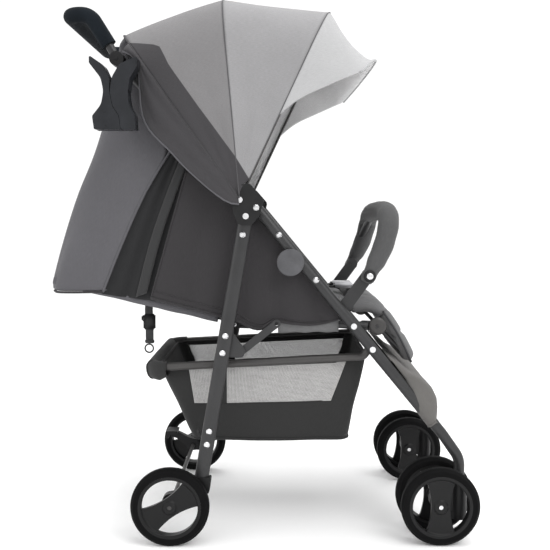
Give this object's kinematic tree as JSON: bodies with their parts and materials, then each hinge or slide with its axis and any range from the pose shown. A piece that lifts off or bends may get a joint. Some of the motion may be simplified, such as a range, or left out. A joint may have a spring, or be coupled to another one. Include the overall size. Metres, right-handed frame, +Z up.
{
  "type": "folding pushchair",
  "caption": "Folding pushchair with twin swivel front wheels, ribbed canopy, reclining back, bumper bar, basket and arched handle.",
  "frame": {"origin": "on the ground under the middle of the chair", "axes": "+X forward, +Z up, +Y to the child's left"},
  "size_m": [0.8005, 0.4939, 1.0295],
  "materials": {
    "frame_metal": "satin powder coat",
    "black_plastic": "fine matt grain",
    "cap_plastic": "matt",
    "rail_metal": "satin black",
    "steel": "bright zinc",
    "tyre": "foamed EVA, matt",
    "rim_plastic": "satin",
    "grip_foam": "closed-cell foam",
    "canopy_cloth": "plain woven polyester",
    "back_cloth": "plain woven polyester",
    "seat_cloth": "padded melange polyester",
    "side_cloth": "plain woven polyester",
    "sling_cloth": "coated woven cloth",
    "webbing": "woven webbing"
  },
  "bodies": {
    "frame": {"front_leg_near": "frame_metal", "front_leg_far": "frame_metal", "handle_tube_near": "frame_metal", "handle_tube_far": "frame_metal", "caster_arm_near": "frame_metal", "caster_arm_far": "frame_metal", "top_housings": "black_plastic", "side_caps": "cap_plastic", "frame_rivets": "steel", "pivot_pins": "steel", "bumper_sockets": "frame_metal", "handle_hubs": "black_plastic", "cup_holder_clamp": "black_plastic", "cup_holder_jaw": "black_plastic", "foot_sling": "sling_cloth", "canopy_rear_panel": "canopy_cloth", "head_wall": "back_cloth", "side_walls": "side_cloth"},
    "rear_legs": {"rear_leg_near": "frame_metal", "rear_leg_far": "frame_metal", "rear_brackets": "black_plastic", "rear_axle": "steel", "gussets": "frame_metal", "rear_leg_rivets": "steel"},
    "fold_links": {"fold_links": "frame_metal"},
    "brake": {"brake_pedal": "black_plastic"},
    "rear_wheel_near": {"rear_tyre_near": "tyre", "rear_rim_near": "rim_plastic"},
    "rear_wheel_far": {"rear_tyre_far": "tyre", "rear_rim_far": "rim_plastic"},
    "seat": {"seat_frame": "frame_metal", "seat_cushion": "seat_cloth"},
    "backrest": {"backrest_frame": "frame_metal", "backrest_cushion": "back_cloth", "recline_strap": "webbing"},
    "legrest": {"legrest_frame": "frame_metal", "legrest_pad": "seat_cloth"},
    "basket": {"basket_hoop": "rail_metal", "basket_bag": "side_cloth"},
    "bumper": {"bumper_core": "frame_metal", "bumper_pad": "seat_cloth"},
    "canopy_mid": {"mid_rib": "rail_metal", "canopy_front_panel": "canopy_cloth"},
    "canopy_front": {"front_rib": "rail_metal"},
    "canopy_visor": {"canopy_visor": "canopy_cloth"},
    "handle": {"handle_bar": "frame_metal", "handle_grip": "grip_foam"},
    "caster_near": {"caster_body_near": "black_plastic", "front_axle_near": "steel"},
    "front_wheel_near_outer": {"front_tyre_near_outer": "tyre", "front_rim_near_outer": "rim_plastic"},
    "front_wheel_near_inner": {"front_tyre_near_inner": "tyre", "front_rim_near_inner": "rim_plastic"},
    "caster_far": {"caster_body_far": "black_plastic", "front_axle_far": "steel"},
    "front_wheel_far_outer": {"front_tyre_far_outer": "tyre", "front_rim_far_outer": "rim_plastic"},
    "front_wheel_far_inner": {"front_tyre_far_inner": "tyre", "front_rim_far_inner": "rim_plastic"}
  },
  "joints": [
    {"name": "leg_fold", "type": "hinge", "parent": "frame", "child": "rear_legs", "pos_m": [-0.025, 0, 0.6045], "axis": [0, -1, 0], "range_deg": [0, 28], "deforming": ["side_walls", "foot_sling"]},
    {"name": "seat_lift", "type": "hinge", "parent": "frame", "child": "seat", "pos_m": [0.173, 0, 0.402], "axis": [0, 1, 0], "range_deg": [0, 20]},
    {"name": "basket_lift", "type": "hinge", "parent": "frame", "child": "basket", "pos_m": [0.208, 0, 0.359], "axis": [0, 1, 0], "range_deg": [0, 14]},
    {"name": "link_swing", "type": "hinge", "parent": "rear_legs", "child": "fold_links", "pos_m": [-0.0365, 0, 0.3525], "axis": [0, -1, 0], "range_deg": [0, 56]},
    {"name": "recline", "type": "hinge", "parent": "seat", "child": "backrest", "pos_m": [-0.07, 0, 0.411], "axis": [0, 1, 0], "range_deg": [0, 57], "deforming": ["head_wall"]},
    {"name": "legrest_tilt", "type": "hinge", "parent": "seat", "child": "legrest", "pos_m": [0.221, 0, 0.397], "axis": [0, -1, 0], "range_deg": [0, 45]},
    {"name": "bumper_swing", "type": "hinge", "parent": "frame", "child": "bumper", "pos_m": [0.201, 0, 0.495], "axis": [0, 1, 0], "range_deg": [0, 75]},
    {"name": "canopy_fold", "type": "hinge", "parent": "frame", "child": "canopy_mid", "pos_m": [-0.036, 0, 0.634], "axis": [0, -1, 0], "range_deg": [0, 24], "deforming": ["canopy_rear_panel"]},
    {"name": "canopy_front_fold", "type": "hinge", "parent": "canopy_mid", "child": "canopy_front", "pos_m": [-0.036, 0, 0.634], "axis": [0, -1, 0], "range_deg": [0, 24], "deforming": ["canopy_front_panel"]},
    {"name": "visor_flip", "type": "hinge", "parent": "canopy_front", "child": "canopy_visor", "pos_m": [0.1364, 0, 1.0021], "axis": [0, -1, 0], "range_deg": [0, 25]},
    {"name": "handle_tilt", "type": "hinge", "parent": "frame", "child": "handle", "pos_m": [-0.258, 0, 0.888], "axis": [0, -1, 0], "range_deg": [0, 60]},
    {"name": "brake_press", "type": "hinge", "parent": "rear_legs", "child": "brake", "pos_m": [-0.165, 0.187, 0.0725], "axis": [0, -1, 0], "range_deg": [0, 20]},
    {"name": "rear_wheel_spin_near", "type": "hinge", "parent": "rear_legs", "child": "rear_wheel_near", "pos_m": [-0.165, -0.231, 0.0725], "axis": [0, 1, 0], "continuous": true},
    {"name": "caster_swivel_near", "type": "hinge", "parent": "frame", "child": "caster_near", "pos_m": [0.373, -0.19, 0.08], "axis": [0, 0, 1], "continuous": true},
    {"name": "front_wheel_spin_near_outer", "type": "hinge", "parent": "caster_near", "child": "front_wheel_near_outer", "pos_m": [0.332, -0.226, 0.0725], "axis": [0, 1, 0], "continuous": true},
    {"name": "front_wheel_spin_near_inner", "type": "hinge", "parent": "caster_near", "child": "front_wheel_near_inner", "pos_m": [0.332, -0.154, 0.0725], "axis": [0, 1, 0], "continuous": true},
    {"name": "rear_wheel_spin_far", "type": "hinge", "parent": "rear_legs", "child": "rear_wheel_far", "pos_m": [-0.165, 0.231, 0.0725], "axis": [0, 1, 0], "continuous": true},
    {"name": "caster_swivel_far", "type": "hinge", "parent": "frame", "child": "caster_far", "pos_m": [0.373, 0.19, 0.08], "axis": [0, 0, 1], "continuous": true},
    {"name": "front_wheel_spin_far_outer", "type": "hinge", "parent": "caster_far", "child": "front_wheel_far_outer", "pos_m": [0.332, 0.226, 0.0725], "axis": [0, 1, 0], "continuous": true},
    {"name": "front_wheel_spin_far_inner", "type": "hinge", "parent": "caster_far", "child": "front_wheel_far_inner", "pos_m": [0.332, 0.154, 0.0725], "axis": [0, 1, 0], "continuous": true}
  ],
  "couplings": [
    {"joint": "seat_lift", "follows": "leg_fold", "ratio": 0.65},
    {"joint": "basket_lift", "follows": "leg_fold", "ratio": 0.45},
    {"joint": "link_swing", "follows": "leg_fold", "ratio": 1.925},
    {"joint": "canopy_front_fold", "follows": "canopy_fold", "ratio": 1}
  ]
}
